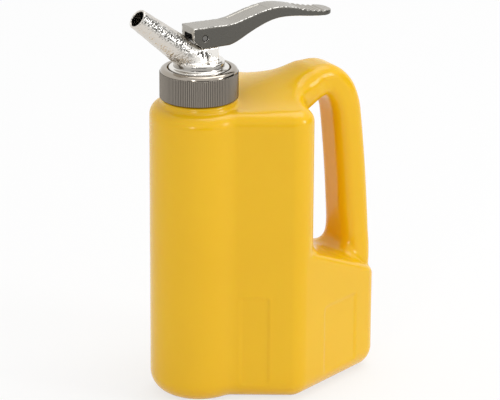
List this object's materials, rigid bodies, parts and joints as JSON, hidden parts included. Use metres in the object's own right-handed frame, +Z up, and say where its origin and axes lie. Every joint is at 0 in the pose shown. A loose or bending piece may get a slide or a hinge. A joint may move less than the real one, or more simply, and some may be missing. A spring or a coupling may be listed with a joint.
{
  "type": "safety can with lever tap",
  "caption": "Small yellow plastic can with a hollow rear handle and a screwed-on nickel tap; pressing the sprung lever opens the valve to pour.",
  "frame": {"origin": "on the floor under the neck: the Z axis is the axis of the neck, the nut and the valve", "axes": "+Z up along the neck, +X from the neck towards the handle, the spout points to -X and up, +Y to the can's left flank"},
  "size_m": [0.1669, 0.1018, 0.2561],
  "materials": {
    "yellow_plastic": "moulded polyethylene with a soft satin sheen",
    "polished_nickel": "nickel-plated brass, polished, with a fine knurl",
    "cast_nickel": "nickel-plated casting with a lumpy skin",
    "satin_nickel": "nickel-plated casting, dark satin sides and a lighter top",
    "brass": "turned brass",
    "stainless_steel": "drawn and turned stainless steel",
    "black_rubber": "moulded rubber",
    "white_seal": "flat white sealing ring"
  },
  "bodies": {
    "can": {"can_body": "yellow_plastic"},
    "tap": {"tap_body": "cast_nickel", "neck_seal": "white_seal", "valve_seat": "brass", "seat_o_ring": "black_rubber", "return_spring": "stainless_steel", "stem_o_ring": "black_rubber", "stem_bush": "brass", "arrester_screen": "stainless_steel", "arrester_ring": "stainless_steel"},
    "nut_carrier": {"slip_ring": "brass"},
    "cap": {"cap_nut": "polished_nickel"},
    "stem": {"valve_stem": "stainless_steel", "valve_disc": "brass", "disc_seal": "black_rubber", "disc_nut": "brass"},
    "lever": {"lever": "satin_nickel", "lever_pin": "stainless_steel"}
  },
  "joints": [
    {"name": "tap_swivel", "type": "hinge", "parent": "can", "child": "tap", "pos_m": [0, 0, 0.2], "axis": [0, 0, 1], "continuous": true},
    {"name": "cap_lift", "type": "slide", "parent": "can", "child": "nut_carrier", "axis": [0, 0, 1], "range_m": [0, 0.0061]},
    {"name": "cap_turn", "type": "hinge", "parent": "nut_carrier", "child": "cap", "pos_m": [0, 0, 0.2], "axis": [0, 0, 1], "range_deg": [0, 540]},
    {"name": "stem_lift", "type": "slide", "parent": "tap", "child": "stem", "axis": [0, 0, 1], "range_m": [0, 0.0027], "stiffness_N_per_m": 2000, "springref_m": -0.004, "deforming": ["return_spring"]},
    {"name": "lever_press", "type": "hinge", "parent": "stem", "child": "lever", "pos_m": [0, 0, 0.2346], "axis": [0, 1, 0], "range_deg": [0, 15]}
  ],
  "couplings": [
    {"joint": "cap_lift", "follows": "cap_turn", "m_per_rad": 0.00063662},
    {"joint": "stem_lift", "follows": "lever_press", "m_per_rad": 0.01}
  ]
}
